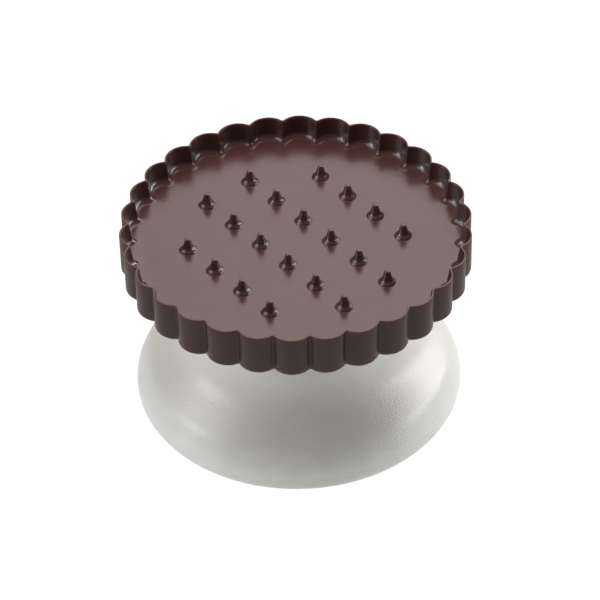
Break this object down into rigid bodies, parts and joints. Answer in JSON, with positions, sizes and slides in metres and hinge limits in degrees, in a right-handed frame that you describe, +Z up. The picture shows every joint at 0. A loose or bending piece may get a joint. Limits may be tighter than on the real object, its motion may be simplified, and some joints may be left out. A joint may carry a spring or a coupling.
{
  "type": "docking biscuit cutter",
  "caption": "Round fluted biscuit cutter with short docking pins in its tray, on a spigot that pushes into a frosted knob handle.",
  "frame": {"origin": "centre of the flat palm side of the knob, which the object stands on with its cutting edge up", "axes": "+Z up along the axis of the knob and the cutter, towards the cutting edge; the rows of pins run along X"},
  "size_m": [0.0646, 0.065, 0.0468],
  "materials": {
    "cutter_plastic": "glossy dark brown moulded plastic",
    "knob_plastic": "frosted translucent white plastic, fine satin texture",
    "ring_rubber": "smooth dark rubber"
  },
  "bodies": {
    "handle": {"knob_shell": "knob_plastic", "palm_cap": "knob_plastic"},
    "head": {"fluted_rim": "cutter_plastic", "docking_plate": "cutter_plastic", "docking_pins": "cutter_plastic", "spigot": "cutter_plastic", "retaining_ring": "ring_rubber"}
  },
  "joints": [
    {"name": "head_pull", "type": "slide", "parent": "handle", "child": "head", "axis": [0, 0, 1], "range_m": [0, 0.024]}
  ]
}
